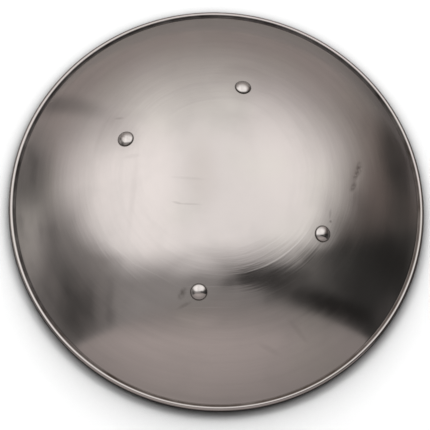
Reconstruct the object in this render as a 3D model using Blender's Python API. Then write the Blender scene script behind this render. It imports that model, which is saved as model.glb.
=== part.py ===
"""Round steel buckler: a domed dish with a rolled rim, and two leather straps riveted inside it.

The shield lies face up on its rim. The origin is at the middle of the circle that it rests on,
+Z points up through the crown, and the two straps run along X, so the forearm lies along Y.
"""

import math

import bmesh
import bpy
from mathutils import Matrix, Vector
from mathutils.geometry import interpolate_bezier

# The dish, in metres
SHIELD_DIAMETER = 0.356
SHIELD_HEIGHT = 0.0635
SHEET_THICKNESS = 0.0015

# The rolled rim: the sheet creases upwards, then rolls outwards, down and under
ROLL_RADIUS = 0.003
ROLL_FLAT_WIDTH = 0.0012
ROLL_START = math.radians(128)
ROLL_SLIT = 0.0008
CREASE_RADIUS = 0.0008

# The rivets: low round heads on the face, shanks through sheet, strap and washer, peened tails behind
HEAD_RADIUS = 0.0065
HEAD_HEIGHT = 0.0028
HEAD_EDGE = 0.0006
SHANK_RADIUS = 0.003
HOLE_CLEARANCE = 0.0003
WASHER_RADIUS = 0.008
WASHER_THICKNESS = 0.0012
TAIL_RADIUS = 0.0048
TAIL_HEIGHT = 0.002

# The drilled pattern. The hand strap lies towards +Y and the arm strap towards -Y.
HAND_RIVET_SPACING = 0.1085
ARM_RIVET_SPACING = 0.1122
HAND_STRAP_PLACE = 0.0703
ARM_STRAP_PLACE = -0.0715
PATTERN_SHIFT = 0.0013

# The straps
HAND_STRAP_WIDTH = 0.024
ARM_STRAP_WIDTH = 0.030
LEATHER_THICKNESS = 0.0032
HAND_STRAP_FLOOR_GAP = 0.009
ARM_STRAP_FLOOR_GAP = 0.006
TAB_END_PAST_RIVET = 0.001
BEND_CLEARANCE = 0.002

# Two pieces that touch keep this gap
TOUCH_GAP = 0.0003

# How finely round shapes are cut into facets
DISH_SEGMENTS = 72
DOME_STEPS = 11
CREASE_STEPS = 2
ROLL_TOP_STEPS = 8
ROLL_UNDER_STEPS = 4
ROLL_INSIDE_STEPS = 8
RIVET_SEGMENTS = 16
HEAD_STEPS = 4
TAIL_STEPS = 3
TAB_STEPS = 4
TAB_END_CUT = math.radians(10)
LOOP_STEPS = 11
SHARP_EDGE = math.radians(40)
WELD_DISTANCE = 1e-6

# A strap's bend is drawn with two handles, as shares of half its free span
FOLD_HANDLE = 0.3
CROWN_HANDLE = 1.1

# Finishes: colour, roughness and how metallic
DISH_STEEL = ((0.56, 0.53, 0.51), 0.25, 1)
RIVET_STEEL = ((0.60, 0.57, 0.55), 0.15, 1)
WASHER_STEEL = ((0.50, 0.48, 0.46), 0.35, 1)
STRAP_LEATHER = ((0.12, 0.05, 0.02), 0.6, 0)

# Middle line of the sheet along the rolled rim, and the centres of its roll and crease
ROLL_LINE_RADIUS = ROLL_RADIUS - SHEET_THICKNESS / 2
CREASE_LINE_RADIUS = CREASE_RADIUS + SHEET_THICKNESS / 2
ROLL_CENTRE = Vector((
    SHIELD_DIAMETER / 2 - ROLL_RADIUS,
    math.sqrt(ROLL_RADIUS**2 - (ROLL_FLAT_WIDTH / 2) ** 2),
))
CREASE_CENTRE = ROLL_CENTRE + (ROLL_LINE_RADIUS + CREASE_LINE_RADIUS) * Vector(
    (math.cos(ROLL_START), math.sin(ROLL_START))
)


def roll_turn():
    """How far the sheet rolls round before its end comes as near to its own back as the slit."""
    apart = ROLL_RADIUS + CREASE_RADIUS
    reach = CREASE_RADIUS + SHEET_THICKNESS + ROLL_SLIT
    return math.tau - math.acos((ROLL_RADIUS**2 + apart**2 - reach**2) / (2 * ROLL_RADIUS * apart))


# The dome is a part of a sphere. Its middle surface passes through the crown and runs smoothly
# into the crease, which gives the sphere's radius.
CROWN_RISE = SHIELD_HEIGHT - SHEET_THICKNESS / 2 - CREASE_CENTRE.y
DOME_LINE_RADIUS = (CREASE_CENTRE.x**2 + CROWN_RISE**2 - CREASE_LINE_RADIUS**2) / (
    2 * (CROWN_RISE + CREASE_LINE_RADIUS)
)
DOME_CENTRE_Z = SHIELD_HEIGHT - SHEET_THICKNESS / 2 - DOME_LINE_RADIUS
DOME_EDGE_ANGLE = math.asin(CREASE_CENTRE.x / (DOME_LINE_RADIUS + CREASE_LINE_RADIUS))
DOME_OUTER_RADIUS = DOME_LINE_RADIUS + SHEET_THICKNESS / 2
DOME_INNER_RADIUS = DOME_LINE_RADIUS - SHEET_THICKNESS / 2
DOME_CENTRE = Vector((0, 0, DOME_CENTRE_Z))


def sagitta(half_width, radius):
    """How far a sphere of this radius bows over a flat piece of this half width."""
    return radius - math.sqrt(radius**2 - half_width**2)


def finish(name, look):
    colour, roughness, metallic = look
    material = bpy.data.materials.new(name)
    material.use_nodes = True
    shader = material.node_tree.nodes["Principled BSDF"]
    shader.inputs["Base Color"].default_value = (*colour, 1)
    shader.inputs["Roughness"].default_value = roughness
    shader.inputs["Metallic"].default_value = metallic
    return material


def arc(centre, radius, start, end, steps):
    """Points on a circle in the (radius, height) plane, from one angle to another, both included."""
    turns = [start + (end - start) * i / steps for i in range(steps + 1)]
    return [(centre[0] + radius * math.cos(t), centre[1] + radius * math.sin(t)) for t in turns]


def finished(name, bm, material):
    """The bmesh as a named object, smooth except at its real edges."""
    bmesh.ops.remove_doubles(bm, verts=bm.verts, dist=WELD_DISTANCE)
    bmesh.ops.recalc_face_normals(bm, faces=bm.faces)
    mesh = bpy.data.meshes.new(name)
    bm.to_mesh(mesh)
    bm.free()
    mesh.shade_smooth()
    mesh.set_sharp_from_angle(angle=SHARP_EDGE)
    mesh.materials.append(material)
    obj = bpy.data.objects.new(name, mesh)
    bpy.context.scene.collection.objects.link(obj)
    return obj


def turned(name, profile, segments, material, closed=False):
    """A piece turned about Z from (radius, height) points. An open profile starts and ends on the axis."""
    bm = bmesh.new()
    ring = [bm.verts.new((r, 0, z)) for r, z in profile]
    pairs = list(zip(ring, ring[1:]))
    if closed:
        pairs.append((ring[-1], ring[0]))
    edges = [bm.edges.new(pair) for pair in pairs]
    bmesh.ops.spin(
        bm, geom=ring + edges, cent=(0, 0, 0), axis=(0, 0, 1), angle=math.tau,
        steps=segments, use_merge=True, use_duplicate=False,
    )
    return finished(name, bm, material)


def dish_profile():
    """The sheet's section, face first: out over the dome, round the crease and the roll, and back."""
    up = math.pi / 2
    edge = up - DOME_EDGE_ANGLE
    crease_start, crease_end = edge - math.pi, ROLL_START - math.pi
    roll_end = ROLL_START - roll_turn()
    flat = math.asin(ROLL_FLAT_WIDTH / 2 / ROLL_RADIUS)
    centre = (0, DOME_CENTRE_Z)
    half = SHEET_THICKNESS / 2
    face = arc(centre, DOME_OUTER_RADIUS, up, edge, DOME_STEPS)
    face += arc(CREASE_CENTRE, CREASE_RADIUS, crease_start, crease_end, CREASE_STEPS)[:-1]
    face += arc(ROLL_CENTRE, ROLL_RADIUS, ROLL_START, -up + flat, ROLL_TOP_STEPS)
    face += arc(ROLL_CENTRE, ROLL_RADIUS, -up - flat, roll_end, ROLL_UNDER_STEPS)
    back = arc(ROLL_CENTRE, ROLL_LINE_RADIUS - half, roll_end, ROLL_START, ROLL_INSIDE_STEPS)
    back += arc(CREASE_CENTRE, CREASE_LINE_RADIUS + half, crease_end, crease_start, CREASE_STEPS)[1:]
    back += arc(centre, DOME_INNER_RADIUS, edge, up, DOME_STEPS)[1:]
    return face + back


class RivetPlace:
    """Where one rivet goes: its direction from the dome's centre, and the radii of what it holds."""

    def __init__(self, x, y, strap_width):
        height = math.sqrt(DOME_OUTER_RADIUS**2 - x**2 - y**2)
        self.out = Vector((x, y, height)).normalized()
        self.strap_face = DOME_INNER_RADIUS - TOUCH_GAP - sagitta(strap_width / 2, DOME_INNER_RADIUS)
        self.strap_back = self.strap_face - LEATHER_THICKNESS
        self.washer_face = self.strap_back - TOUCH_GAP - sagitta(WASHER_RADIUS, self.strap_back)
        self.washer_back = self.washer_face - WASHER_THICKNESS

    def frame(self):
        """A matrix whose Z axis is the rivet's, with its origin on the dish's face."""
        turn = Vector((0, 0, 1)).rotation_difference(self.out).to_matrix().to_4x4()
        return Matrix.Translation(DOME_CENTRE + self.out * DOME_OUTER_RADIUS) @ turn

    def below_face(self, radius):
        """The height, in the rivet's own frame, of a surface this far from the dome's centre."""
        return radius - DOME_OUTER_RADIUS


def dome_arc(radius, rise, base, steps):
    """Half the outline of a low round head, from its crown on the axis to its edge."""
    curve = (radius**2 + rise**2) / (2 * rise)
    edge = math.asin(radius / curve) if rise <= curve else math.pi - math.asin(radius / curve)
    return arc((0, base + rise - curve), curve, math.pi / 2, math.pi / 2 - edge, steps)


def rivet(name, place, material):
    """Low round head on a thin edge, shank and peened tail, in one piece."""
    tail_base = place.below_face(place.washer_back) - TOUCH_GAP
    head = dome_arc(HEAD_RADIUS, HEAD_HEIGHT - HEAD_EDGE, TOUCH_GAP + HEAD_EDGE, HEAD_STEPS)
    head.append((HEAD_RADIUS, TOUCH_GAP))
    shank = [(SHANK_RADIUS, TOUCH_GAP), (SHANK_RADIUS, tail_base)]
    tail = [(r, 2 * tail_base - z) for r, z in dome_arc(TAIL_RADIUS, TAIL_HEIGHT, tail_base, TAIL_STEPS)]
    obj = turned(name, head + shank + tail[::-1], RIVET_SEGMENTS, material)
    obj.matrix_world = place.frame()
    return obj


def washer(name, place, material):
    hole = SHANK_RADIUS + HOLE_CLEARANCE
    top, bottom = place.below_face(place.washer_face), place.below_face(place.washer_back)
    section = [(hole, bottom), (WASHER_RADIUS, bottom), (WASHER_RADIUS, top), (hole, top)]
    obj = turned(name, section, RIVET_SEGMENTS, material, closed=True)
    obj.matrix_world = place.frame()
    return obj


def hole_cutter(name, place, material):
    """A drill as long as the stack of sheet and leather."""
    top = HEAD_HEIGHT
    bottom = place.below_face(place.washer_back) - HEAD_HEIGHT
    radius = SHANK_RADIUS + HOLE_CLEARANCE
    obj = turned(name, [(0, top), (radius, top), (radius, bottom), (0, bottom)], RIVET_SEGMENTS, material)
    obj.matrix_world = place.frame()
    obj.hide_render = True
    obj.display_type = "WIRE"
    return obj


def drill(obj, cutters):
    for cutter in cutters:
        modifier = obj.modifiers.new("Drill " + cutter.name, "BOOLEAN")
        modifier.operation = "DIFFERENCE"
        modifier.object = cutter


def strap_stations(width, floor_gap, left, right):
    """Stations along a strap as (point, thickness direction, half width), and its width direction.

    The strap lies in the plane through the dome's centre and its two rivets, where the dish's
    inside is square to it. Between the rivets it leaves the dish and hangs in a loop.
    """
    middle = (left.out + right.out).normalized()
    along = (right.out - left.out).normalized()
    across = middle.cross(along)
    rivet_angle = left.out.angle(right.out) / 2
    line = left.strap_face - LEATHER_THICKNESS / 2
    leave_angle = rivet_angle - (WASHER_RADIUS + BEND_CLEARANCE) / line
    tab_angle = rivet_angle + TAB_END_PAST_RIVET / line

    def on_dish(angle):
        return Vector((line * math.sin(angle), line * math.cos(angle)))

    lowest = floor_gap - DOME_CENTRE_Z + abs(across.z) * width / 2
    crown = Vector((0, lowest / middle.z + LEATHER_THICKNESS / 2))
    leave = on_dish(leave_angle)
    inwards = Vector((-math.cos(leave_angle), math.sin(leave_angle)))
    loop = interpolate_bezier(
        leave.to_3d(),
        (leave + inwards * leave.x * FOLD_HANDLE).to_3d(),
        Vector((leave.x * CROWN_HANDLE, crown.y, 0)),
        crown.to_3d(),
        LOOP_STEPS + 1,
    )
    half = [(p.to_2d(), width / 2) for p in loop]
    for i in range(TAB_STEPS + 1):
        turn = (math.pi / 2 - TAB_END_CUT) * i / TAB_STEPS
        reach = math.sin(turn) * width / 2 / line
        half.insert(0, (on_dish(tab_angle + reach), math.cos(turn) * width / 2))
    path = half + [(Vector((-p.x, p.y)), w) for p, w in half[-2::-1]]
    stations = []
    for i, (point, half_width) in enumerate(path):
        before, after = path[max(i - 1, 0)][0], path[min(i + 1, len(path) - 1)][0]
        tangent = (after - before).normalized()
        thick = along * -tangent.y + middle * tangent.x
        stations.append((DOME_CENTRE + along * point.x + middle * point.y, thick, half_width))
    return stations, across


def strap(name, width, floor_gap, left, right, material):
    """A leather strap with rounded ends: a rectangle swept along its stations."""
    stations, across = strap_stations(width, floor_gap, left, right)
    bm = bmesh.new()
    rings = []
    for point, thick, half_width in stations:
        corners = [(-1, -1), (1, -1), (1, 1), (-1, 1)]
        rings.append([
            bm.verts.new(point + across * half_width * a + thick * LEATHER_THICKNESS / 2 * b)
            for a, b in corners
        ])
    for first, second in zip(rings, rings[1:]):
        for i in range(4):
            j = (i + 1) % 4
            bm.faces.new((first[i], first[j], second[j], second[i]))
    bm.faces.new(rings[0])
    bm.faces.new(rings[-1])
    return finished(name, bm, material)


def fitted_strap(name, spacing, place_y, width, floor_gap, finishes):
    """One strap with its two rivets and washers. Returns the drills that the dish needs for them."""
    steel, washer_steel, hide = finishes
    sides = {"left": -spacing / 2, "right": spacing / 2}
    places = {side: RivetPlace(PATTERN_SHIFT + x, place_y, width) for side, x in sides.items()}
    band = strap(name + "_strap", width, floor_gap, places["left"], places["right"], hide)
    cutters = []
    for side, place in places.items():
        rivet(f"{name}_rivet_{side}", place, steel)
        washer(f"{name}_washer_{side}", place, washer_steel)
        cutters.append(hole_cutter(f"{name}_drill_{side}", place, steel))
    drill(band, cutters)
    return cutters


def main():
    for obj in list(bpy.data.objects):
        bpy.data.objects.remove(obj, do_unlink=True)
    dish = turned("dish", dish_profile(), DISH_SEGMENTS, finish("dish steel", DISH_STEEL))
    finishes = (
        finish("rivet steel", RIVET_STEEL),
        finish("washer steel", WASHER_STEEL),
        finish("strap leather", STRAP_LEATHER),
    )
    hand_drills = fitted_strap(
        "hand", HAND_RIVET_SPACING, HAND_STRAP_PLACE, HAND_STRAP_WIDTH, HAND_STRAP_FLOOR_GAP, finishes
    )
    arm_drills = fitted_strap(
        "arm", ARM_RIVET_SPACING, ARM_STRAP_PLACE, ARM_STRAP_WIDTH, ARM_STRAP_FLOOR_GAP, finishes
    )
    drill(dish, hand_drills + arm_drills)


main()
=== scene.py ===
import functools
import math

import bmesh
import bpy
import numpy as np
from mathutils import Matrix, Vector, noise
from mathutils.geometry import interpolate_bezier


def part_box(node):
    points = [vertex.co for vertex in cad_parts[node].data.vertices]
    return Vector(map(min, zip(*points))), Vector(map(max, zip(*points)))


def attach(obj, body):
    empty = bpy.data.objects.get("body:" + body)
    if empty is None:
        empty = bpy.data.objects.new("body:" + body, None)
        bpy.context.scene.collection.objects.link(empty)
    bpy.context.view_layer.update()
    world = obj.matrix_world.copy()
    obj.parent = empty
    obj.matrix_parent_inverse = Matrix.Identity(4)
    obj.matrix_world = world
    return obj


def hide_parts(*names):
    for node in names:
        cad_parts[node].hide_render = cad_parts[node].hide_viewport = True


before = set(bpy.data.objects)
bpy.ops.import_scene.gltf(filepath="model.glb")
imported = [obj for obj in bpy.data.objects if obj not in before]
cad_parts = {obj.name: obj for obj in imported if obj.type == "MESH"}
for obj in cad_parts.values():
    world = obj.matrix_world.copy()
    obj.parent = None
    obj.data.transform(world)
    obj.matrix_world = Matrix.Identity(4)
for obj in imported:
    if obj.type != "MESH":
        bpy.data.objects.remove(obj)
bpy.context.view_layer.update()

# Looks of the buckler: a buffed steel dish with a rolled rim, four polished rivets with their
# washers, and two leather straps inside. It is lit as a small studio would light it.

# The dish: its size is the frame's, and its sheet and rolled rim are as they were built
DISH_LOW, DISH_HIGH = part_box("dish")
RIM_RADIUS = (DISH_HIGH.x - DISH_LOW.x) / 2
HEIGHT = DISH_HIGH.z
SHEET = 0.0015
ROLL_RADIUS = 0.003
ROLL_FLAT_WIDTH = 0.0012
ROLL_START = math.radians(128)
ROLL_SLIT = 0.0008
CREASE_RADIUS = 0.0008

# The rivets and washers
HEAD_RADIUS = 0.0065
HEAD_HEIGHT = 0.0028
HEAD_EDGE = 0.0006
HEAD_EDGE_ROUND = 0.00054
HEAD_EDGE_TURN = math.radians(32)
HEAD_DOME_INSET = 0.00012
HEAD_SIDE_INSET = 0.00005
HEAD_FOOT_INSET = 0.0004
HEAD_FOOT_HEIGHT = 0.0001
SHANK_RADIUS = 0.003
HOLE_CLEARANCE = 0.0003
HOLE_RADIUS = SHANK_RADIUS + HOLE_CLEARANCE
WASHER_RADIUS = 0.008
WASHER_THICKNESS = 0.0012
WASHER_EDGE_ROUND = 0.0002
TAIL_RADIUS = 0.0048
TAIL_HEIGHT = 0.002

# The straps
STRAP_WIDTHS = {"hand": 0.024, "arm": 0.030}
STRAP_FLOOR_GAPS = {"hand": 0.009, "arm": 0.006}
LEATHER_THICKNESS = 0.0032
TAB_END_PAST_RIVET = 0.001
BEND_CLEARANCE = 0.002
FOLD_HANDLE = 0.3
CROWN_HANDLE = 1.1
TOUCH_GAP = 0.0003

# The leather: round edges with a creased line beside them, rough grain, and wear at the bends
EDGE_ROUND = 0.0009
LINE_INSET = 0.0026
LINE_WIDTH = 0.0004
LINE_DEPTH = 0.0003
GRAIN_SCALE = 60
GRAIN_DEPTH = 0.00012
GRAIN_FREE_EDGE = 0.002
DARK_EDGE_WIDTH = 0.0012
BEND_FROM_TAB = 0.012
BEND_REACH = 0.012
WEAR_OVERALL = 0.25
WEAR_AT_BENDS = 0.7
TIP_WIDTH_SHARE = 0.02

# The beaten sheet: long shallow waves, and one small dent that is scuffed
WAVE_DEPTH = 0.0005
WAVE_SCALE = 14
FLAT_ROUND_RIVET = 0.011
WAVE_START_FROM_RIVET = 0.030
WAVE_FADE_START = 0.120
WAVE_FADE_END = 0.168
DENT_PLACE = (0.1142, 0.0132)
DENT_SIZE = (0.0130, 0.0035)
DENT_TURN = math.radians(66)
DENT_DEPTH = 0.00007
RIPPLE_DEPTH = 0.00006
RIPPLE_SCALE = 75
RIPPLE_TURNS = 0.6

# Marks on the face, by how far they are to the camera's right and away from it. The buffing wheel's
# arcs run round one point, and its strokes show most in one patch.
STROKE_MIDDLE = (0.0, 0.010)
WORKED_PLACE = (0.046, -0.066)
WORKED_SIZE = (0.050, 0.020)
WORKED_TURN = 24
SCRATCH_HALF_WIDTH = 0.00045
# Place, half length, turn in degrees, strength
LIGHT_SCRATCHES = (
    ((-0.0105, -0.0842), 0.0170, 0, 0.3),
    ((-0.0100, -0.1000), 0.0135, 0, 0.2),
    ((-0.0714, -0.0733), 0.0150, -44, 0.15),
    ((-0.0505, -0.0752), 0.0200, -28, 0.2),
    ((-0.0800, -0.0560), 0.0160, -40, 0.12),
)
# Radius, place, reach, strength
LIGHT_ARCS = ((0.0846, (0.0400, -0.0650), 0.0260, 0.4),)
DARK_ARCS = (
    (0.0990, (0.0711, -0.0572), 0.0170, 0.5),
    (0.1012, (0.0670, -0.0640), 0.0120, 0.3),
    (0.0865, (0.0360, -0.0690), 0.0190, 0.35),
)
# Place, half length and half width, turn in degrees, strength
RUST_DABS = (
    ((0.1168, 0.0213), (0.0048, 0.0022), 74, 0.62),
    ((0.1139, 0.0143), (0.0045, 0.0016), 66, 0.55),
    ((0.1108, 0.0038), (0.0042, 0.0017), 62, 0.55),
    ((-0.0310, -0.0890), (0.0038, 0.0022), 60, 0.6),
    ((-0.0290, -0.0980), (0.0050, 0.0012), 25, 0.3),
)
DARK_SMEARS = (
    ((-0.0360, -0.0175), (0.0035, 0.0008), -14, 0.22),
    ((-0.0262, -0.0188), (0.0080, 0.0007), -3, 0.20),
    ((-0.0268, 0.0028), (0.0120, 0.0011), -5, 0.09),
    ((-0.0713, -0.0060), (0.0290, 0.0023), 85, 0.09),
    ((-0.0730, 0.0240), (0.0060, 0.0016), 6, 0.10),
    ((0.0632, -0.1160), (0.0095, 0.0020), -46, 0.14),
    ((0.0396, -0.1304), (0.0080, 0.0020), -24, 0.12),
    ((0.0899, -0.0283), (0.0010, 0.0010), 0, 0.6),
    ((0.0897, -0.0222), (0.0034, 0.0009), 84, 0.3),
    ((-0.0842, 0.0602), (0.0030, 0.0010), 0, 0.26),
)

# How far under the face the sheet stops being buffed and is only ground
BUFFED_DEPTH = 0.0007
GROUND_DEPTH = 0.0013

# Painted shade in the crease along the rim, by how far it is inside and outside the crease's
# middle, and round the rivets, by how far it is from the head's edge. Each fades from its first to
# its second.
CREASE_SHADE_IN = (0.0016, 0.0003)
CREASE_SHADE_OUT = (0.0023, 0.0016)
CREASE_SHADE_THINNER_NEAR = 0.0006
COLLAR_SHADE_OUT = (0.0009, 0.0001)
HEAD_SHADE_IN = (0.0009, 0.0001)

# The height of what is too fine to be cut in a mesh
STROKE_HEIGHT = 0.000035
RIVET_GRAIN_HEIGHT = 0.00001
WASHER_GRAIN_HEIGHT = 0.00004
LEATHER_PEBBLE_HEIGHT = 0.00018
LEATHER_PEBBLE_SCALE = 900.0

# How finely the meshes are cut
DISH_SEGMENTS = 448
FACE_STEPS = 132
BACK_STEPS = 30
CREASE_STEPS = 6
CREASE_BACK_STEPS = 5
ROLL_OUTER_STEPS = 20
ROLL_UNDER_STEPS = 9
ROLL_BACK_STEPS = 12
RIVET_SEGMENTS = 96
HEAD_STEPS = 24
HEAD_EDGE_STEPS = 5
TAIL_STEPS = 12
WASHER_RIM_STEPS = 4
WASHER_HOLE_STEPS = 3
LOOP_STEPS = 120
TAB_STEPS = 30
TANGENT_STEP = 0.0004
STRAP_STRAIGHT_ROWS = 260
STRAP_END_ROWS = 22
STRAP_COLUMNS = 44
TABLE_SEGMENTS = 128
SHARP_EDGE = math.radians(35)
FLAT_EDGE_WELD = 1e-6

# The camera looks down on the shield, which is turned under it. Marks and lights are placed by how
# far they are to the camera's right and away from it.
SHIELD_TURN = math.radians(26)
RIGHT = Vector((math.cos(SHIELD_TURN), -math.sin(SHIELD_TURN), 0))
AWAY = Vector((math.sin(SHIELD_TURN), math.cos(SHIELD_TURN), 0))
CAMERA_DISTANCE = 1.0
CAMERA_TILT = math.radians(16.66)
CAMERA_SIDE = math.radians(-9.84)
CAMERA_ROLL = math.radians(-0.2)
CAMERA_AIM_RIGHT = -0.0024
CAMERA_AIM_UP = -0.0099
FRAME_WIDTH = 430
FOCAL_PIXELS = 1162.7
SENSOR_WIDTH = 36

# The table that it lies on, and the lamps that light it
TABLE_OPENING = 0.1735
TABLE_RADIUS = 6.0
TABLE_LIGHT = 3.55
CONTACT_REACH = 0.03
LOW_LAMP_TILT = 70
LOW_LAMP_SPREAD = 44
# Bearing in degrees from the camera's right, share of the light
LOW_LAMPS = ((90, 0.40), (42, 0.26), (138, 0.27), (-2, 0.07), (185, 0.08))
UNDER_LAMP_SPREAD = 150
UNDER_LAMP_LIGHT = 2.5

# The room that the steel mirrors. Its places are in degrees from straight up, first to the camera's
# right and then away from it.
CEILING_FALL = (28, 89)
STRIP_PLACE = 13
TABLE_EDGE_MIDDLE = 10
TABLE_EDGE_PLACE = 28
TABLE_EDGE_BOW = 0.0032
LEFT_WALL_PLACE = 63
LEFT_WALL_BOW = 0.018
RIGHT_WALL_SLANT = 0.38
RIGHT_WALL_BOW = 0.0035
RIGHT_WALL_EDGE = (45, 72)
DOORWAY_PLACE = 29
DOORWAY_SLANT = 0.5
# Place, half length and half width, strength
CEILING_LAMPS = (
    ((-23, 26), (9, 40), 0.45),
    ((-43, 24), (13, 16), 0.6),
    ((31, 29), (18, 18), 0.4),
)
# Place, half length and half width, turn in degrees, softness, shade, strength
ROOM_THINGS = (
    ((9, -25), (8, 7), 0, 0.9, 0.2, 0.4),
    ((20.5, -17.8), (14, 4.3), 9, 0.35, 0.045, 0.95),
    ((74, 38), (8, 26), 8, 0.7, 0.05, 0.85),
    ((72, -3), (12, 9), 0, 0.8, 0.024, 0.85),
    ((47, -25.8), (21, 4.6), -9, 0.6, 0.016, 1.0),
    ((75, -26), (6, 7), 0, 0.8, 0.10, 0.6),
    ((75, 13), (6, 8), 0, 0.9, 0.06, 0.5),
    ((86, 4), (4, 22), 0, 0.7, 0.11, 0.5),
    ((86, 34), (5, 9), 0, 0.9, 0.22, 0.7),
    ((62, 68), (12, 7), -45, 0.9, 0.2, 0.5),
    ((-56, -27), (11, 17), 10, 0.8, 0.055, 0.9),
    ((-64, -10), (8, 14), 10, 0.8, 0.13, 0.6),
    ((-73, 9), (7, 17), 0, 0.7, 0.45, 0.7),
    ((-54, 7), (5, 8), 0, 0.9, 0.25, 0.4),
    ((-73, 31), (9, 12), 0, 0.7, 0.13, 0.75),
    ((-55, 60), (15, 3.8), -33, 0.7, 0.14, 0.55),
    ((-62, 62), (6, 4), -33, 0.9, 0.1, 0.35),
    ((-33, 39), (5, 5), 0, 0.9, 0.4, 0.2),
    ((-4, 22), (5, 12), 0, 0.8, 0.9, 0.5),
)


# Shader arithmetic


class Value:
    """A value in a shader tree. Arithmetic on it adds Math nodes."""

    def __init__(self, tree, socket=None):
        self.tree = tree
        self.socket = socket

    def node(self, kind, settings=None, inputs=None, output=0):
        """Adds a node: its settings are set first, then the values or links of its sockets."""
        made = self.tree.nodes.new(kind)
        for name, value in (settings or {}).items():
            setattr(made, name, value)
        for name, value in (inputs or {}).items():
            if isinstance(value, Value):
                self.tree.links.new(value.socket, made.inputs[name])
            else:
                made.inputs[name].default_value = value
        return Value(self.tree, made.outputs[output])

    def math(self, operation, first, second=0.0):
        return self.node("ShaderNodeMath", {"operation": operation}, {0: first, 1: second})

    def __add__(self, other):
        return self.math("ADD", self, other)

    def __sub__(self, other):
        return self.math("SUBTRACT", self, other)

    def __mul__(self, other):
        return self.math("MULTIPLY", self, other)

    def __truediv__(self, other):
        return self.math("DIVIDE", self, other)

    def __pow__(self, other):
        return self.math("POWER", self, other)

    def __rsub__(self, other):
        return self.math("SUBTRACT", other, self)

    __radd__ = __add__
    __rmul__ = __mul__

    def largest(self, other):
        return self.math("MAXIMUM", self, other)

    def smallest(self, other):
        return self.math("MINIMUM", self, other)

    def distance(self, point):
        """How far this place is from a point."""
        settings = {"operation": "DISTANCE"}
        return self.node("ShaderNodeVectorMath", settings, {0: self, 1: point}, "Value")

    def smooth(self, low, high):
        """Goes smoothly from 0 to 1 as this goes from low to high. High may be the lower."""
        settings = {"interpolation_type": "SMOOTHSTEP"}
        if low < high:
            return self.node("ShaderNodeMapRange", settings, {0: self, 1: low, 2: high})
        return 1 - self.node("ShaderNodeMapRange", settings, {0: self, 1: high, 2: low})

    def blend(self, first, second):
        """The number that goes from first to second as this goes from 0 to 1."""
        return self * (second - first) + first

    def tint(self, first, second):
        """The colour that goes from first to second as this goes from 0 to 1."""
        return self.node("ShaderNodeMix", {"data_type": "RGBA"}, {0: self, 6: first, 7: second}, 2)

    def parts(self):
        """The X, Y and Z of a vector."""
        split = self.node("ShaderNodeSeparateXYZ", None, {0: self})
        return [Value(self.tree, split.socket.node.outputs[i]) for i in range(3)]

    def grain(self, scale, detail, roughness=0.5):
        """Cloudy noise from 0 to 1 at this place."""
        inputs = {"Vector": self, "Scale": scale, "Detail": detail, "Roughness": roughness}
        return self.node("ShaderNodeTexNoise", None, inputs)

    def lines(self, scale, detail, roughness):
        """Noise from 0 to 1 that changes only as this number does."""
        inputs = {"W": self, "Scale": scale, "Detail": detail, "Roughness": roughness}
        return self.node("ShaderNodeTexNoise", {"noise_dimensions": "1D"}, inputs)

    def point(self, x, y, z=0.0):
        """A place made of three numbers."""
        return self.node("ShaderNodeCombineXYZ", None, {"X": x, "Y": y, "Z": z})


def colour(red, green, blue):
    return (red, green, blue, 1.0)


def new_material(name, roughness, metallic):
    """A material, its first value and its main shader node."""
    material = bpy.data.materials.new(name)
    material.use_nodes = True
    shader = material.node_tree.nodes["Principled BSDF"]
    shader.inputs["Roughness"].default_value = roughness
    shader.inputs["Metallic"].default_value = metallic
    return material, Value(material.node_tree), shader


def feed(shader, name, value):
    value.tree.links.new(value.socket, shader.inputs[name])


def raise_surface(shader, height, distance):
    """Bumps the surface by a height from 0 to 1 that stands for this distance."""
    inputs = {"Height": height, "Distance": distance}
    feed(shader, "Normal", height.node("ShaderNodeBump", None, inputs))


def band(value, middle, half_width, soft):
    """1 where the value is within the half width of the middle, and 0 well outside it."""
    off = (value - middle) / half_width
    return ((off * off) ** 0.5).smooth(1 + soft, 1 - soft)


def blotch(x, y, place, size, turn, soft):
    """1 in an ellipse with this place, half length and width, and turn, and 0 well outside it."""
    turn = math.radians(turn)
    across, up = x - place[0], y - place[1]
    along = (across * math.cos(turn) + up * math.sin(turn)) / size[0]
    beside = (up * math.cos(turn) - across * math.sin(turn)) / size[1]
    reach = (along * along + beside * beside) ** 0.5
    return reach.smooth(1 + soft, 1 - soft)


def seen(x, y):
    """A place's distances to the camera's right and away from it."""
    cos, sin = math.cos(SHIELD_TURN), math.sin(SHIELD_TURN)
    return x * cos - y * sin, x * sin + y * cos


# Materials

BUFFED = colour(0.658, 0.617, 0.600)
BUFFED_HAZY = colour(0.622, 0.585, 0.567)
BUFFED_OLIVE = colour(0.640, 0.618, 0.578)
SMOKY = colour(0.53, 0.505, 0.49)
STREAKED = colour(0.56, 0.53, 0.515)
STROKED = colour(0.80, 0.76, 0.74)
LIGHT_MARK = colour(0.86, 0.83, 0.80)
DARK_MARK = colour(0.2, 0.18, 0.17)
SMEARED = colour(0.25, 0.23, 0.22)
RUSTED = colour(0.17, 0.145, 0.13)
# Painted shade in the crease along the rim and round the rivets: black on the far side, brown on
# the near one
FAR_SHADE = colour(0.035, 0.031, 0.030)
NEAR_SHADE = colour(0.085, 0.066, 0.055)

POLISHED = colour(0.70, 0.67, 0.65)
POLISHED_WORN = colour(0.58, 0.55, 0.53)
# Painted shade at the rivet head's edge, where it meets the sheet
POLISHED_EDGE_SHADE = colour(0.10, 0.09, 0.08)

STAMPED = colour(0.5, 0.48, 0.46)
STAMPED_STAIN = colour(0.28, 0.22, 0.18)

LEATHER_DARK = colour(0.060, 0.024, 0.010)
LEATHER_BROWN = colour(0.125, 0.052, 0.022)
LEATHER_WORN = colour(0.24, 0.115, 0.05)
LEATHER_EDGE = colour(0.022, 0.011, 0.007)


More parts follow.
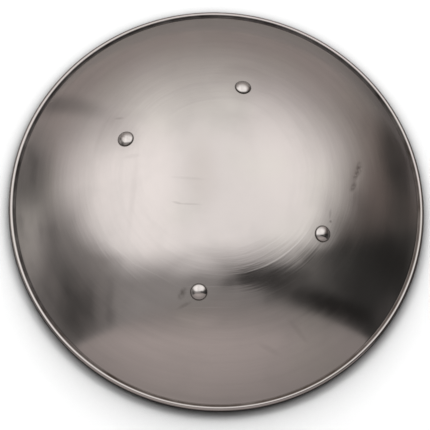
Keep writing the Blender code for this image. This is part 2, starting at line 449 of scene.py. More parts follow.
def wheel_marks(right, away, drift):
    """The buffing wheel's work: distance from its middle, thin strokes and broad streaks."""
    across, beyond = right - STROKE_MIDDLE[0], away - STROKE_MIDDLE[1]
    stroke_radius = (across * across + beyond * beyond) ** 0.5
    strokes = (stroke_radius + drift * 0.002).lines(420, 3, 0.7)
    reach = stroke_radius.largest(0.001)
    sweep = drift.point(across / reach, beyond / reach, (stroke_radius + drift * 0.004) * 135)
    streaks = sweep.grain(1.0, 4, 0.65) * stroke_radius.smooth(0.015, 0.075)
    return stroke_radius, strokes, streaks


def marked(tint, place, right, away, stroke_radius):
    """The tint with the stray marks of the face on it."""
    for mark_place, half_length, turn, strength in LIGHT_SCRATCHES:
        mark = blotch(right, away, mark_place, (half_length, SCRATCH_HALF_WIDTH), turn, 0.8)
        tint = (mark * strength).tint(tint, LIGHT_MARK)
    for arcs, mark_tint in ((LIGHT_ARCS, LIGHT_MARK), (DARK_ARCS, DARK_MARK)):
        for arc_radius, mark_place, reach, strength in arcs:
            mark = band(stroke_radius, arc_radius, SCRATCH_HALF_WIDTH, 0.9)
            mark = mark * blotch(right, away, mark_place, (reach, reach), 0, 0.7)
            tint = (mark * strength).tint(tint, mark_tint)
    for mark_place, size, turn, strength in DARK_SMEARS:
        mark = blotch(right, away, mark_place, size, turn, 0.7)
        tint = (mark * strength).tint(tint, SMEARED)
    # Dabs of dark rust in the dent and beside one rivet, broken up into specks
    broken = place.grain(260, 3, 0.6).smooth(0.25, 0.6)
    for dab_place, size, turn, strength in RUST_DABS:
        dab = blotch(right, away, dab_place, size, turn, 0.8) * broken
        tint = (dab * strength).tint(tint, RUSTED)
    return tint


def painted_corner_shade(place, radius, near, seats):
    """Painted shade: 1 in the crease along the rim, thinner on the near side, and less round the
    rivets.
    """
    middle = CREASE_CENTRE.x
    crease = radius - near * CREASE_SHADE_THINNER_NEAR
    crease = crease.smooth(middle - CREASE_SHADE_IN[0], middle - CREASE_SHADE_IN[1])
    crease = crease * radius.smooth(middle + CREASE_SHADE_OUT[0], middle + CREASE_SHADE_OUT[1])
    crease = (crease * (place.grain(60, 3) * 0.4 + 0.72)).smallest(1.0)
    nearest = functools.reduce(Value.smallest, [place.distance(seat) for seat in seats])
    collar = nearest.smooth(HEAD_RADIUS + COLLAR_SHADE_OUT[0], HEAD_RADIUS + COLLAR_SHADE_OUT[1])
    return crease.largest(collar * 0.8)


def buffed_steel(seats):
    """The dish: fine rings from buffing, smoky haze, stray marks, and painted shade in its corners.
    """
    material, start, shader = new_material("buffed steel", 0.12, 1)
    place = start.node("ShaderNodeTexCoord", output="Object")
    x, y, _ = place.parts()
    right, away = seen(x, y)
    radius = (x * x + y * y) ** 0.5
    drift = place.grain(12, 2)
    rings = (radius + drift * 0.003).lines(260, 3, 0.6)
    haze = place.grain(9, 4).smooth(0.36, 0.68)
    smoke = place.grain(26, 3, 0.55).smooth(0.42, 0.75)
    olive = place.grain(11, 2).smooth(0.45, 0.65)
    stroke_radius, strokes, streaks = wheel_marks(right, away, drift)
    # The inside is only ground, not buffed, and is free of the marks of the face
    depth = DOME_OUTER_RADIUS - place.distance(tuple(DOME_CENTRE))
    ground = depth.smooth(BUFFED_DEPTH, GROUND_DEPTH)
    worked = blotch(right, away, WORKED_PLACE, WORKED_SIZE, WORKED_TURN, 0.6)
    worked = worked.largest(haze * place.grain(16, 1).smooth(0.5, 0.7) * 0.3) * (1 - ground)
    tint = haze.tint(BUFFED, BUFFED_HAZY)
    tint = (olive * 0.6).tint(tint, BUFFED_OLIVE)
    tint = (smoke * 0.3).tint(tint, SMOKY)
    tint = (streaks.smooth(0.4, 0.7) * 0.35).tint(tint, STREAKED)
    tint = (strokes.smooth(0.5, 0.75) * worked * 0.3).tint(tint, STROKED)
    tint = ground.tint(marked(tint, place, right, away, stroke_radius), tint)
    # The painted shade is black on the far side and brown on the near one
    near = (right * 0.5 - away).smooth(-0.06, 0.17)
    shade_mask = painted_corner_shade(place, radius, near, seats)
    feed(shader, "Base Color", shade_mask.tint(tint, near.tint(FAR_SHADE, NEAR_SHADE)))
    roughness = rings * 0.03 + smoke * 0.04 + haze * 0.04 + shade_mask * 0.3 + 0.06
    feed(shader, "Roughness", roughness + ground * (0.2 + smoke * 0.1))
    height = streaks * (worked * 0.9 + 0.9) + strokes * (worked + 0.1) * 0.4
    raise_surface(shader, height * (1 - ground * 0.85), STROKE_HEIGHT)
    shader.inputs["Anisotropic"].default_value = 0.35
    return material


def polished_steel():
    """The rivets: nearly a mirror, with faint scratches, and a painted shade where they meet the
    sheet.
    """
    material, start, shader = new_material("polished rivet steel", 0.12, 1)
    place = start.node("ShaderNodeTexCoord", output="Object")
    edge = start.node("ShaderNodeAttribute", {"attribute_name": "edge"}, output="Fac")
    wear = place.grain(260, 4, 0.6)
    tint = wear.smooth(0.5, 0.8).tint(POLISHED, POLISHED_WORN)
    # Painted shade darkens the head's edge where it meets the sheet
    feed(shader, "Base Color", (edge * 0.85).tint(tint, POLISHED_EDGE_SHADE))
    feed(shader, "Roughness", wear * 0.1 + edge * 0.2 + 0.05)
    raise_surface(shader, place.grain(700, 2), RIVET_GRAIN_HEIGHT)
    return material


def dull_steel():
    """The washers: plain stamped steel, a little stained."""
    material, start, shader = new_material("stamped washer steel", 0.4, 1)
    place = start.node("ShaderNodeTexCoord", output="Object")
    stain = place.grain(320, 5, 0.65)
    feed(shader, "Base Color", stain.smooth(0.45, 0.7).tint(STAMPED, STAMPED_STAIN))
    feed(shader, "Roughness", stain * 0.3 + 0.25)
    raise_surface(shader, place.grain(1400, 3, 0.6), WASHER_GRAIN_HEIGHT)
    return material


def strap_leather():
    """Waxed dark brown leather: pebbled grain, lighter where it bends and dark along its edges."""
    material, start, shader = new_material("waxed strap leather", 0.5, 0)
    place = start.node("ShaderNodeTexCoord", output="Object")
    wear = start.node("ShaderNodeAttribute", {"attribute_name": "wear"}, output="Fac")
    edge = start.node("ShaderNodeAttribute", {"attribute_name": "edge"}, output="Fac")
    cells = {"Vector": place, "Scale": LEATHER_PEBBLE_SCALE}
    pebbles = start.node("ShaderNodeTexVoronoi", {"feature": "DISTANCE_TO_EDGE"}, cells)
    mottle = place.grain(90, 5, 0.6)
    tint = mottle.tint(LEATHER_DARK, LEATHER_BROWN)
    tint = (wear * mottle.smooth(0.3, 0.7) * 0.7).tint(tint, LEATHER_WORN)
    feed(shader, "Base Color", edge.tint(tint, LEATHER_EDGE))
    feed(shader, "Roughness", mottle * 0.2 + 0.36 + wear * 0.1)
    raise_surface(shader, pebbles.smooth(0.0, 0.35) * 0.6 + mottle, LEATHER_PEBBLE_HEIGHT)
    shader.inputs["Coat Weight"].default_value = 0.15
    shader.inputs["Coat Roughness"].default_value = 0.3
    return material


# Shapes


def arc(centre, radius, start, end, steps):
    """Points on a circle in the (radius, height) plane, from one angle to another inclusive."""
    turns = [start + (end - start) * i / steps for i in range(steps + 1)]
    return [(centre[0] + radius * math.cos(t), centre[1] + radius * math.sin(t)) for t in turns]


ROLL_LINE_RADIUS = ROLL_RADIUS - SHEET / 2
CREASE_LINE_RADIUS = CREASE_RADIUS + SHEET / 2
ROLL_CENTRE = Vector((
    RIM_RADIUS - ROLL_RADIUS,
    math.sqrt(ROLL_RADIUS**2 - (ROLL_FLAT_WIDTH / 2) ** 2),
))
CREASE_CENTRE = ROLL_CENTRE + (ROLL_LINE_RADIUS + CREASE_LINE_RADIUS) * Vector(
    (math.cos(ROLL_START), math.sin(ROLL_START))
)
CROWN_RISE = HEIGHT - SHEET / 2 - CREASE_CENTRE.y
DOME_LINE_RADIUS = (CREASE_CENTRE.x**2 + CROWN_RISE**2 - CREASE_LINE_RADIUS**2) / (
    2 * (CROWN_RISE + CREASE_LINE_RADIUS)
)
DOME_OUTER_RADIUS = DOME_LINE_RADIUS + SHEET / 2
DOME_INNER_RADIUS = DOME_LINE_RADIUS - SHEET / 2
DOME_CENTRE = Vector((0, 0, HEIGHT - SHEET / 2 - DOME_LINE_RADIUS))
DOME_EDGE_ANGLE = math.asin(CREASE_CENTRE.x / (DOME_LINE_RADIUS + CREASE_LINE_RADIUS))


def sagitta(half_width, radius):
    return radius - math.sqrt(radius**2 - half_width**2)


def roll_turn():
    """How far the sheet rolls round before its end comes as near to its own back as the slit."""
    apart = ROLL_RADIUS + CREASE_RADIUS
    reach = CREASE_RADIUS + SHEET + ROLL_SLIT
    return math.tau - math.acos((ROLL_RADIUS**2 + apart**2 - reach**2) / (2 * ROLL_RADIUS * apart))


def dish_profile():
    """The sheet's section, face first: over the dome, round the crease and the roll, and back."""
    up = math.pi / 2
    edge = up - DOME_EDGE_ANGLE
    crease_start, crease_end = edge - math.pi, ROLL_START - math.pi
    roll_end = ROLL_START - roll_turn()
    flat = math.asin(ROLL_FLAT_WIDTH / 2 / ROLL_RADIUS)
    centre = (0, DOME_CENTRE.z)
    half = SHEET / 2
    face = arc(centre, DOME_OUTER_RADIUS, up, edge, FACE_STEPS)
    face += arc(CREASE_CENTRE, CREASE_RADIUS, crease_start, crease_end, CREASE_STEPS)[1:-1]
    face += arc(ROLL_CENTRE, ROLL_RADIUS, ROLL_START, -up + flat, ROLL_OUTER_STEPS)
    face += arc(ROLL_CENTRE, ROLL_RADIUS, -up - flat, roll_end, ROLL_UNDER_STEPS)
    back = arc(ROLL_CENTRE, ROLL_LINE_RADIUS - half, roll_end, ROLL_START, ROLL_BACK_STEPS)
    crease_back = CREASE_LINE_RADIUS + half
    back += arc(CREASE_CENTRE, crease_back, crease_end, crease_start, CREASE_BACK_STEPS)[1:]
    back += arc(centre, DOME_INNER_RADIUS, edge, up, BACK_STEPS)[1:]
    return face + back


def mesh_object(name, points, faces, material):
    mesh = bpy.data.meshes.new(name)
    mesh.from_pydata(points, [], faces)
    mesh.materials.append(material)
    obj = bpy.data.objects.new(name, mesh)
    bpy.context.scene.collection.objects.link(obj)
    return obj


def vertex_points(mesh):
    points = np.zeros(len(mesh.vertices) * 3, np.float32)
    mesh.vertices.foreach_get("co", points)
    return points.reshape(-1, 3).astype(float)


def keep_values(obj, name, values):
    """Keeps a number from 0 to 1 at each point, which the material reads by this name."""
    layer = obj.data.attributes.new(name, "FLOAT", "POINT")
    layer.data.foreach_set("value", np.clip(values, 0, 1).astype(np.float32))


def smoothed(obj):
    obj.data.shade_smooth()
    obj.data.set_sharp_from_angle(angle=SHARP_EDGE)
    return obj


def turned(name, profile, segments, material, closed=False):
    """Turns (radius, height) points about Z. An open profile starts and ends on the axis."""
    turns = np.arange(segments) * math.tau / segments
    rings = profile if closed else profile[1:-1]
    points = [(r * math.cos(t), r * math.sin(t), z) for r, z in rings for t in turns]
    faces = []
    last = len(rings) if closed else len(rings) - 1
    for i in range(last):
        here, there = i * segments, (i + 1) % len(rings) * segments
        for j in range(segments):
            k = (j + 1) % segments
            faces.append((here + j, there + j, there + k, here + k))
    if not closed:
        top, bottom = len(points), len(points) + 1
        points += [(0, 0, profile[0][1]), (0, 0, profile[-1][1])]
        end = (len(rings) - 1) * segments
        for j in range(segments):
            k = (j + 1) % segments
            faces.append((top, j, k))
            faces.append((bottom, end + k, end + j))
    return mesh_object(name, points, faces, material)


class RivetPlace:
    """Where one rivet is, from its node: its direction, and the radii of what it holds."""

    def __init__(self, node, strap_width):
        found = np.array([v.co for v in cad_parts[node].data.vertices])
        middle = np.unique(found.round(6), axis=0).mean(axis=0)
        self.out = (Vector(middle) - DOME_CENTRE).normalized()
        self.strap_face = DOME_INNER_RADIUS - TOUCH_GAP
        self.strap_face -= sagitta(strap_width / 2, DOME_INNER_RADIUS)
        self.strap_back = self.strap_face - LEATHER_THICKNESS
        self.washer_face = self.strap_back - TOUCH_GAP - sagitta(WASHER_RADIUS, self.strap_back)
        self.washer_back = self.washer_face - WASHER_THICKNESS

    def frame(self):
        turn = Vector((0, 0, 1)).rotation_difference(self.out).to_matrix().to_4x4()
        return Matrix.Translation(DOME_CENTRE + self.out * DOME_OUTER_RADIUS) @ turn

    def below_face(self, radius):
        return radius - DOME_OUTER_RADIUS

    def seat(self):
        """The middle of the rivet's head where it meets the face."""
        return tuple(DOME_CENTRE + self.out * DOME_OUTER_RADIUS)


def place_piece(obj, place):
    obj.data.transform(place.frame())
    return obj


def dome_arc(radius, rise, base, steps):
    """Half the outline of a low round head, from its crown on the axis to its edge."""
    curve = (radius**2 + rise**2) / (2 * rise)
    edge = math.asin(radius / curve) if rise <= curve else math.pi - math.asin(radius / curve)
    return arc((0, base + rise - curve), curve, math.pi / 2, math.pi / 2 - edge, steps)


def hole_cutter(place, material):
    top = HEAD_HEIGHT
    bottom = place.below_face(place.washer_back) - HEAD_HEIGHT
    section = [(0, top), (HOLE_RADIUS, top), (HOLE_RADIUS, bottom), (0, bottom)]
    return place_piece(turned("drill", section, RIVET_SEGMENTS // 2, material), place)


def drill(obj, places, material):
    """Cuts the rivet holes for good."""
    cutters = [hole_cutter(place, material) for place in places]
    for cutter in cutters:
        modifier = obj.modifiers.new("Drill", "BOOLEAN")
        modifier.operation = "DIFFERENCE"
        modifier.object = cutter
    bpy.context.view_layer.update()
    graph = bpy.context.evaluated_depsgraph_get()
    cut = bpy.data.meshes.new_from_object(obj.evaluated_get(graph))
    obj.modifiers.clear()
    obj.data = cut
    for cutter in cutters:
        bpy.data.objects.remove(cutter, do_unlink=True)
    return obj


def eased(values, low, high):
    """Rises smoothly from 0 to 1 as the values go from low to high."""
    share = np.clip((values - low) / (high - low), 0, 1)
    return share * share * (3 - 2 * share)


def sheet_drop(points, places):
    """How far the beaten sheet lies below a true dome at each point, by its waves and its dent."""
    radius = np.hypot(points[:, 0], points[:, 1])
    free = 1 - eased(radius, WAVE_FADE_START, WAVE_FADE_END)
    for place in places:
        apart = np.linalg.norm(points - np.array(place.seat()), axis=1)
        free *= eased(apart, FLAT_ROUND_RIVET, WAVE_START_FROM_RIVET)
    waves = np.array([noise.noise(Vector((x, y, 0)) * WAVE_SCALE) for x, y in points[:, :2]])
    turn = np.arctan2(points[:, 1], points[:, 0]) * RIPPLE_TURNS
    ripples = np.array([
        noise.noise(Vector((r * RIPPLE_SCALE, math.cos(t), math.sin(t))))
        for r, t in zip(radius, turn)
    ])
    drop = ((0.5 + 0.5 * waves) * WAVE_DEPTH + (0.5 + 0.5 * ripples) * RIPPLE_DEPTH) * free
    across = points[:, :2] @ np.array(RIGHT.xy) - DENT_PLACE[0]
    beyond = points[:, :2] @ np.array(AWAY.xy) - DENT_PLACE[1]
    along = (across * math.cos(DENT_TURN) + beyond * math.sin(DENT_TURN)) / DENT_SIZE[0]
    beside = (beyond * math.cos(DENT_TURN) - across * math.sin(DENT_TURN)) / DENT_SIZE[1]
    return drop + DENT_DEPTH * np.exp(-(along**2) - beside**2)


def dish(places, material):
    obj = turned("buckler_dish", dish_profile(), DISH_SEGMENTS, material)
    points = vertex_points(obj.data)
    points[:, 2] -= sheet_drop(points, places)
    obj.data.vertices.foreach_set("co", points.reshape(-1).astype(np.float32))
    return smoothed(drill(obj, places, material))


def rivet(name, place, material):
    """Low round head seated on the sheet, shank, and a peened tail."""
    seat = TOUCH_GAP * 0.1 - sagitta(HEAD_RADIUS, DOME_OUTER_RADIUS)
    shoulder = TOUCH_GAP + HEAD_EDGE
    soft = HEAD_EDGE_ROUND
    head = dome_arc(HEAD_RADIUS - HEAD_DOME_INSET, HEAD_HEIGHT - HEAD_EDGE, shoulder, HEAD_STEPS)
    soft_middle = (HEAD_RADIUS - soft, shoulder - soft * 0.6)
    head += arc(soft_middle, soft, HEAD_EDGE_TURN, 0, HEAD_EDGE_STEPS)
    head += [(HEAD_RADIUS - HEAD_SIDE_INSET, seat + HEAD_FOOT_HEIGHT)]
    head += [(HEAD_RADIUS - HEAD_FOOT_INSET, seat)]
    tail_base = place.below_face(place.washer_back) - TOUCH_GAP
    shank = [(SHANK_RADIUS, seat), (SHANK_RADIUS, tail_base)]
    tail = dome_arc(TAIL_RADIUS, TAIL_HEIGHT, tail_base, TAIL_STEPS)
    tail = [(r, 2 * tail_base - z) for r, z in tail[::-1]]
    obj = turned(name, head + shank + tail, RIVET_SEGMENTS, material)
    radius = np.hypot(*vertex_points(obj.data)[:, :2].T)
    # Painted shade round the head's edge, where it meets the sheet
    shade_start, shade_full = HEAD_RADIUS - HEAD_SHADE_IN[0], HEAD_RADIUS - HEAD_SHADE_IN[1]
    keep_values(obj, "edge", eased(radius, shade_start, shade_full))
    return smoothed(place_piece(obj, place))


def washer(name, place, material):
    soft = WASHER_EDGE_ROUND
    rim, hole = WASHER_RADIUS - soft, HOLE_RADIUS + soft
    top = place.below_face(place.washer_face) - soft
    bottom = place.below_face(place.washer_back) + soft
    quarter = math.pi / 2
    section = arc((rim, bottom), soft, -quarter, 0, WASHER_RIM_STEPS)
    section += arc((rim, top), soft, 0, quarter, WASHER_RIM_STEPS)
    section += arc((hole, top), soft, quarter, 2 * quarter, WASHER_HOLE_STEPS)
    section += arc((hole, bottom), soft, 2 * quarter, 3 * quarter, WASHER_HOLE_STEPS)
    obj = turned(name, section, RIVET_SEGMENTS, material, closed=True)
    return smoothed(place_piece(obj, place))


class StrapLine:
    """The middle line of one strap, measured along its length from the middle of its loop."""

    def __init__(self, floor_gap, width, left, right):
        self.middle = (left.out + right.out).normalized()
        self.along = (right.out - left.out).normalized()
        self.across = self.middle.cross(self.along)
        self.width = width
        rivet_angle = left.out.angle(right.out) / 2
        line = left.strap_face - LEATHER_THICKNESS / 2
        leave_angle = rivet_angle - (WASHER_RADIUS + BEND_CLEARANCE) / line
        end_angle = rivet_angle + (TAB_END_PAST_RIVET + width / 2) / line
        lowest = floor_gap - DOME_CENTRE.z + abs(self.across.z) * width / 2
        crown = Vector((0, lowest / self.middle.z + LEATHER_THICKNESS / 2))
        leave = line * Vector((math.sin(leave_angle), math.cos(leave_angle)))
        inwards = Vector((-math.cos(leave_angle), math.sin(leave_angle)))
        loop = interpolate_bezier(
            crown.to_3d(),
            Vector((leave.x * CROWN_HANDLE, crown.y, 0)),
            (leave + inwards * leave.x * FOLD_HANDLE).to_3d(),
            leave.to_3d(),
            LOOP_STEPS,
        )
        half = [p.to_2d() for p in loop]
        for i in range(1, TAB_STEPS + 1):
            angle = leave_angle + (end_angle - leave_angle) * i / TAB_STEPS
            half.append(line * Vector((math.sin(angle), math.cos(angle))))
        self.path = np.array([(-p.x, p.y) for p in half[:0:-1]] + [tuple(p) for p in half])
        steps = np.hypot(*np.diff(self.path, axis=0).T)
        self.lengths = np.concatenate([[0], np.cumsum(steps)])
        self.lengths -= self.lengths[-1] / 2

    def at(self, length):
        """The point on the line at this length, and the strap's thickness direction there."""
        here = self._flat(length)
        ahead, behind = self._flat(length + TANGENT_STEP), self._flat(length - TANGENT_STEP)
        tangent = (ahead - behind).normalized()
        point = DOME_CENTRE + self.along * here.x + self.middle * here.y
        return point, self.middle * tangent.x - self.along * tangent.y

    def _flat(self, length):
        found = [np.interp(length, self.lengths, self.path[:, k]) for k in (0, 1)]
        return Vector(found)


def strap_rows(ends, radius):
    """Where a strap's cross rows lie along it and how wide each is, with a round end each way."""
    turns = np.linspace(0, math.pi / 2, STRAP_END_ROWS)[1:]
    past, beside = radius * np.sin(turns), radius * np.cos(turns)
    straight = np.linspace(-ends, ends, STRAP_STRAIGHT_ROWS)
    lengths = np.concatenate([-ends - past[::-1], straight, ends + past])
    half_widths = np.concatenate([beside[::-1], np.full(STRAP_STRAIGHT_ROWS, radius), beside])
    return lengths, np.maximum(half_widths, radius * TIP_WIDTH_SHARE)


def strap(name, line, material):
    """A leather strap with round ends, softened edges and a creased line beside each edge."""
    radius = line.width / 2
    ends = line.lengths[-1] - radius
    lengths, half_widths = strap_rows(ends, radius)
    shares = np.sin(np.linspace(-math.pi / 2, math.pi / 2, STRAP_COLUMNS))
    points, faces, edges, wears = [], [], [], []
    for length, half_width in zip(lengths, half_widths):
        centre, thick = line.at(length)
        past = max(abs(length) - ends, 0)
        bend = math.exp(-(((abs(length) - ends + radius + BEND_FROM_TAB) / BEND_REACH) ** 2))
        for side in (1, -1):
            for share in shares[::side]:
                beside = share * half_width
                inset = radius - math.hypot(past, beside)
                low = max(EDGE_ROUND - inset, 0)
                edge_height = math.sqrt(max(EDGE_ROUND**2 - low**2, 0))
                height = LEATHER_THICKNESS / 2 - EDGE_ROUND + edge_height
                groove = math.exp(-(((inset - LINE_INSET) / LINE_WIDTH) ** 2)) * LINE_DEPTH
                rough = noise.noise(Vector((length * GRAIN_SCALE, beside * GRAIN_SCALE, side)))
                height -= groove + abs(rough) * GRAIN_DEPTH * min(inset / GRAIN_FREE_EDGE, 1)
                points.append(centre + line.across * beside + thick * height * side)
                edges.append(math.exp(-max(inset, 0) / DARK_EDGE_WIDTH) + groove / LINE_DEPTH / 2)
                wears.append(WEAR_OVERALL + bend * WEAR_AT_BENDS)
    ring = 2 * STRAP_COLUMNS
    for i in range(len(lengths) - 1):
        for j in range(ring):
            k = (j + 1) % ring
            faces.append((i * ring + j, i * ring + k, (i + 1) * ring + k, (i + 1) * ring + j))
    for base in (0, (len(lengths) - 1) * ring):
        for j in range(STRAP_COLUMNS - 1):
            quad = (base + j, base + j + 1, base + ring - 2 - j, base + ring - 1 - j)
            faces.append(quad if base else quad[::-1])
    obj = mesh_object(name, [tuple(p) for p in points], faces, material)
    keep_values(obj, "edge", edges)
    keep_values(obj, "wear", wears)
    bm = bmesh.new()
    bm.from_mesh(obj.data)
    bmesh.ops.remove_doubles(bm, verts=bm.verts, dist=FLAT_EDGE_WELD)
    bmesh.ops.recalc_face_normals(bm, faces=bm.faces)
    bm.to_mesh(obj.data)
    bm.free()
    return obj


# Studio


def camera():
    """A camera that looks down on the shield from the side of the arm strap."""
    turn = CAMERA_SIDE - SHIELD_TURN
    back = Vector((
        math.sin(CAMERA_TILT) * math.sin(turn),
        -math.sin(CAMERA_TILT) * math.cos(turn),
        math.cos(CAMERA_TILT),
    ))
    right = AWAY.cross(back).normalized()
    up = back.cross(right)
    spot = back * CAMERA_DISTANCE
    look_back = (spot - right * CAMERA_AIM_RIGHT - up * CAMERA_AIM_UP).normalized()
    right = up.cross(look_back).normalized()
    up = look_back.cross(right)
    axes = Matrix((right, up, look_back)).transposed().to_4x4()
    data = bpy.data.cameras.new("camera")
    data.sensor_width = SENSOR_WIDTH
    data.lens = FOCAL_PIXELS / FRAME_WIDTH * SENSOR_WIDTH
    obj = bpy.data.objects.new("camera", data)
    obj.matrix_world = Matrix.Translation(spot) @ axes @ Matrix.Rotation(CAMERA_ROLL, 4, "Z")
    bpy.context.scene.collection.objects.link(obj)
    bpy.context.scene.camera = obj


TABLE_PALE = colour(0.93, 0.93, 0.93)
TABLE_SHADOW = colour(0.02, 0.02, 0.022)
# The table as the steel mirrors it: dim on the far side and the left, dimmer on the rest
MIRRORED_TABLE_FAR = colour(0.195, 0.18, 0.172)
MIRRORED_TABLE_NEAR = colour(0.08, 0.073, 0.072)


def floor():
    """A pale table, open under the shield so that its inside shows from below."""
    material, start, shader = new_material("pale table", 0.7, 0)
    mirrored = start.node("ShaderNodeLightPath", output="Is Glossy Ray")
    reach = {"Distance": CONTACT_REACH}
    open_share = start.node("ShaderNodeAmbientOcclusion", None, reach, "AO")
    x, y, _ = start.node("ShaderNodeTexCoord", output="Object").parts()
    right, away = seen(x, y)
    bearing = start.math("ARCTAN2", away, right) * math.degrees(1)
    dim = bearing.smooth(62, 30).tint(MIRRORED_TABLE_FAR, MIRRORED_TABLE_NEAR)
    tint = (open_share * open_share).tint(TABLE_SHADOW, mirrored.tint(TABLE_PALE, dim))
    feed(shader, "Base Color", tint)
    shader.inputs["Specular IOR Level"].default_value = 0.1
    count = TABLE_SEGMENTS
    turns = [math.tau * i / count for i in range(count)]
    radii = (TABLE_OPENING, TABLE_RADIUS)
    points = [(r * math.cos(t), r * math.sin(t), 0) for r in radii for t in turns]
    faces = [(i, i + count, (i + 1) % count + count, (i + 1) % count) for i in range(count)]
    mesh_object("floor", points, faces, material)


def soft_lamp(name, towards, tilt, spread, strength):
    """A broad soft lamp far away that lights the table. The steel mirrors the studio instead."""
    data = bpy.data.lights.new(name, "SUN")
    data.angle = math.radians(spread)
    data.energy = strength
    obj = bpy.data.objects.new(name, data)
    side = RIGHT * math.cos(math.radians(towards)) + AWAY * math.sin(math.radians(towards))
    up = Vector((0, 0, 1))
    shine = -(side * math.sin(math.radians(tilt)) + up * math.cos(math.radians(tilt)))
    obj.rotation_euler = shine.to_track_quat("-Z", "Y").to_euler()
    obj.visible_glossy = False
    bpy.context.scene.collection.objects.link(obj)


def lamps():
    """Low lamps on the far side, which leave a soft shadow on the near side, and one from below."""
    low_lamp_light = TABLE_LIGHT / math.cos(math.radians(LOW_LAMP_TILT))
    for towards, share in LOW_LAMPS:
        name = f"low lamp {towards}"
        soft_lamp(name, towards, LOW_LAMP_TILT, LOW_LAMP_SPREAD, low_lamp_light * share)
    soft_lamp("lamp from below", 0, 180, UNDER_LAMP_SPREAD, UNDER_LAMP_LIGHT)


# The room that the steel mirrors


CEILING_OVERHEAD = colour(1.07, 1.045, 1.035)
CEILING_FAR = colour(0.36, 0.32, 0.307)
CEILING_LAMP = colour(1.38, 1.33, 1.31)
CEILING_BAND = colour(0.45, 0.43, 0.42)
FAR_STRIP = colour(0.32, 0.305, 0.30)
TABLE_BRIGHT = colour(0.515, 0.462, 0.447)
TABLE_BY_SHIELD = colour(0.318, 0.288, 0.28)
TABLE_RIGHT = colour(0.2, 0.185, 0.18)
TABLE_FAR_EDGE = colour(0.29, 0.268, 0.26)
LEFT_WALL = colour(0.265, 0.25, 0.243)
RIGHT_WALL = colour(0.187, 0.152, 0.143)
RIGHT_WALL_LOW = colour(0.078, 0.070, 0.067)
DOORWAY_TIP = colour(0.125, 0.12, 0.118)
DOORWAY = colour(0.037, 0.037, 0.036)
DARK_CLUTTER = colour(0.03, 0.028, 0.028)
PALE_CLUTTER = colour(0.34, 0.31, 0.30)
UNDERNEATH = colour(0.7, 0.69, 0.68)
WHITE = colour(1, 1, 1)


def ceiling_light(right, away, tilt):
    """The ceiling, brightest overhead, and the darker strip of room between it and the table."""
    fall = (tilt + right * right * 0.0014 + right * 0.025).smooth(*CEILING_FALL)
    light = fall.tint(CEILING_OVERHEAD, CEILING_FAR)
    for place, size, strength in CEILING_LAMPS:
        bright = blotch(right, away, place, size, 0, 0.8) * (1 - fall) * strength
        light = bright.tint(light, CEILING_LAMP)
    strip = (away - (right + 10).largest(0) * 0.13 + STRIP_PLACE).smooth(8, -8)
    return strip.tint(light, FAR_STRIP)


def table_share(right, away):
    """1 on the table, whose far edge bows, soft in the middle and sharp towards both sides."""
    off_middle = right - TABLE_EDGE_MIDDLE
    off_squared = off_middle * off_middle
    softness = off_squared.smooth(300, 2400).blend(5.5, 2.4) * right.smooth(18, 42).blend(1, 0.6)
    edge = away + off_squared * TABLE_EDGE_BOW + TABLE_EDGE_PLACE - right.smooth(4, 32) * 1.8
    return (edge / softness).smooth(1, -1)


def table_light(right, away, tilt):
    """The table, which is darker close to the shield, on the right and along its far edge."""
    light = tilt.smooth(42, 80).tint(TABLE_BRIGHT, TABLE_BY_SHIELD)
    light = (right.smooth(-20, 30) * 0.2).tint(light, TABLE_RIGHT)
    return (away.smooth(-43, -31) * 0.85).tint(light, TABLE_FAR_EDGE)


def left_wall_share(right, away):
    """1 on the left wall, which reaches further in on the near side and fades on the far side."""
    dip = (28 - away).largest(0).smallest(38)
    wall = (right + LEFT_WALL_PLACE - dip * dip * LEFT_WALL_BOW).smooth(8, -7)
    return wall * away.smooth(64, 36).blend(0.35, 0.95)


def right_wall_share(right, away):
    """1 on the right wall, which reaches further in on the near side and fades on the far side."""
    nearer = (20 - away).largest(0)
    slant = (38 - away).largest(0) * RIGHT_WALL_SLANT
    wall = (right + slant + nearer * nearer * RIGHT_WALL_BOW).smooth(*RIGHT_WALL_EDGE)
    return wall * away.smooth(72, 40).blend(0.2, 0.97)


def doorway_share(right, away):
    """1 on the dark doorway on the right, which thins to a wedge."""
    return (right * DOORWAY_SLANT - DOORWAY_PLACE - away).smooth(-5, 5) * right.smooth(6, 26)


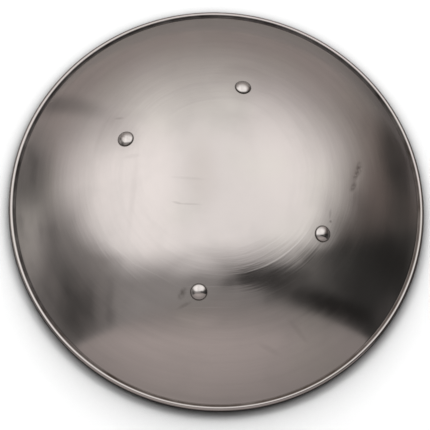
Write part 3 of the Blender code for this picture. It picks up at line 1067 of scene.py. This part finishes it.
def mirrored_room(right, away, tilt):
    """A soft ceiling, darker walls with a doorway, and a table."""
    table = table_share(right, away)
    above_table = 1 - table
    left_wall = left_wall_share(right, away) * above_table
    right_wall = right_wall_share(right, away) * above_table
    doorway = doorway_share(right, away) * above_table
    light = table.tint(ceiling_light(right, away, tilt), table_light(right, away, tilt))
    light = left_wall.tint(light, LEFT_WALL)
    light = right_wall.tint(light, away.smooth(30, -6).tint(RIGHT_WALL, RIGHT_WALL_LOW))
    light = (doorway * 0.95).tint(light, right.smooth(36, 60).tint(DOORWAY_TIP, DOORWAY))
    for place, size, turn, soft, shade, strength in ROOM_THINGS:
        thing = blotch(right, away, place, size, turn, soft) * above_table
        light = (thing * strength).tint(light, colour(shade * 1.05, shade, shade * 0.97))
    # Clutter along the walls, and faint bands across the ceiling
    walls = left_wall.largest(right_wall).largest(doorway)
    clutter = right.point(right * 0.12, away * 0.045).grain(1.0, 3, 0.6)
    light = (walls * clutter.smooth(0.50, 0.70) * 0.45).tint(light, DARK_CLUTTER)
    pale_clutter = walls * clutter.smooth(0.50, 0.32) * right.smooth(62, 20)
    light = (pale_clutter * 0.16).tint(light, PALE_CLUTTER)
    bands = right.point(right * 0.075, away * 0.018, 3).grain(1.0, 2).smooth(0.5, 0.7)
    return (above_table * (1 - walls) * bands * 0.10).tint(light, CEILING_BAND)


def studio_world():
    """The room, which lights only what mirrors it. Seen straight, it is white."""
    world = bpy.data.worlds.new("studio")
    world.use_nodes = True
    world.cycles_visibility.diffuse = False
    bpy.context.scene.world = world
    start = Value(world.node_tree)
    x, y, z = start.node("ShaderNodeTexCoord", output="Generated").parts()
    tilt = start.math("ARCCOSINE", z) * math.degrees(1)
    spread = tilt / ((x * x + y * y) ** 0.5).largest(0.0001)
    right, away = [side * spread for side in seen(x, y)]
    light = mirrored_room(right, away, tilt)
    light = z.smooth(-0.15, -0.4).tint(light, UNDERNEATH)
    light = start.node("ShaderNodeLightPath", output="Is Camera Ray").tint(light, WHITE)
    feed(world.node_tree.nodes["Background"], "Color", light)


def main():
    bpy.context.scene.view_settings.view_transform = "Standard"
    polished, dull, leather = polished_steel(), dull_steel(), strap_leather()
    pieces = []
    every_place = []
    # Every strap with its two rivets and their washers, then the dish
    for kind, width in STRAP_WIDTHS.items():
        places = {s: RivetPlace(f"{kind}_rivet_{s}", width) for s in ("left", "right")}
        every_place += places.values()
        line = StrapLine(STRAP_FLOOR_GAPS[kind], width, places["left"], places["right"])
        leather_band = strap(f"{kind}_strap_leather", line, leather)
        smoothed(drill(leather_band, places.values(), leather))
        pieces.append((leather_band, f"{kind}_strap", "strap_leather"))
        for side, place in places.items():
            head = rivet(f"{kind}_round_rivet_{side}", place, polished)
            ring = washer(f"{kind}_backing_washer_{side}", place, dull)
            pieces.append((head, f"{kind}_rivet_{side}", "rivet_steel"))
            pieces.append((ring, f"{kind}_washer_{side}", "washer_steel"))
    buffed = buffed_steel([place.seat() for place in every_place])
    pieces.append((dish(every_place, buffed), "dish", "dish_steel"))
    for obj, node, slot in pieces:
        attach(obj, "root")
        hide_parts(node)
    floor()
    lamps()
    studio_world()
    camera()


main()
